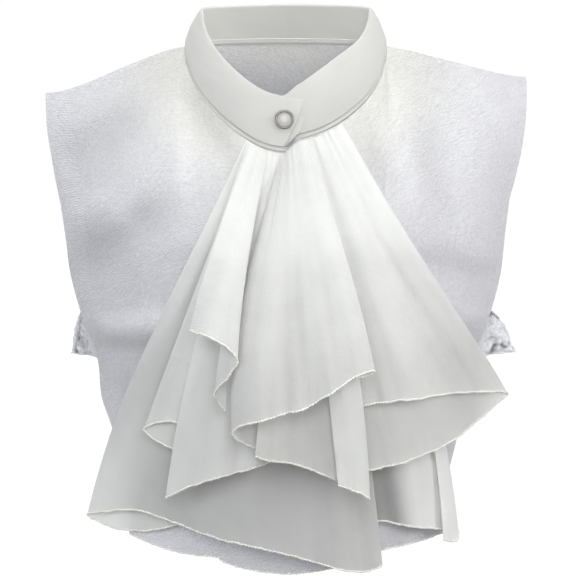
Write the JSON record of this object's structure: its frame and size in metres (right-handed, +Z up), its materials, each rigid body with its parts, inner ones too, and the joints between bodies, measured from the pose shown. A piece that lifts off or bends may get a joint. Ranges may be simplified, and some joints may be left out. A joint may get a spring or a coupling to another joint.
{
  "type": "detachable blouse collar with jabot",
  "caption": "Sleeveless false-blouse collar: band collar with a snap at the front lap, bib front, back panel, elastic side tabs and a cascading chiffon jabot.",
  "frame": {"origin": "middle of the neck seam, where the collar sits on a neck", "axes": "+Z up; -Y the way the worn front looks; +X to the right as seen from the front"},
  "size_m": [0.326, 0.2621, 0.3695],
  "materials": {
    "collar_cloth": "smooth white woven cloth, interlined",
    "crepe": "cool white pebbled crepe, matte",
    "chiffon": "warm white semi-sheer chiffon with a rolled, overlocked hem",
    "elastic": "ruched, cloth-covered elastic",
    "snap_metal": "dark polished metal",
    "snap_pearl": "pearl-grey gloss disc"
  },
  "bodies": {
    "root": {"collar_band": "collar_cloth", "neck_piping": "collar_cloth", "front_panel": "crepe", "back_panel": "crepe", "elastic_tab_left": "elastic", "elastic_tab_right": "elastic", "jabot_bottom_ruffle": "chiffon", "jabot_right_tail": "chiffon", "jabot_third_ruffle": "chiffon", "jabot_right_fold": "chiffon", "jabot_second_ruffle": "chiffon", "jabot_left_fold": "chiffon", "jabot_centre_fold": "chiffon", "snap_ring": "snap_metal", "snap_cap": "snap_pearl", "snap_stud": "snap_metal"}
  },
  "joints": []
}
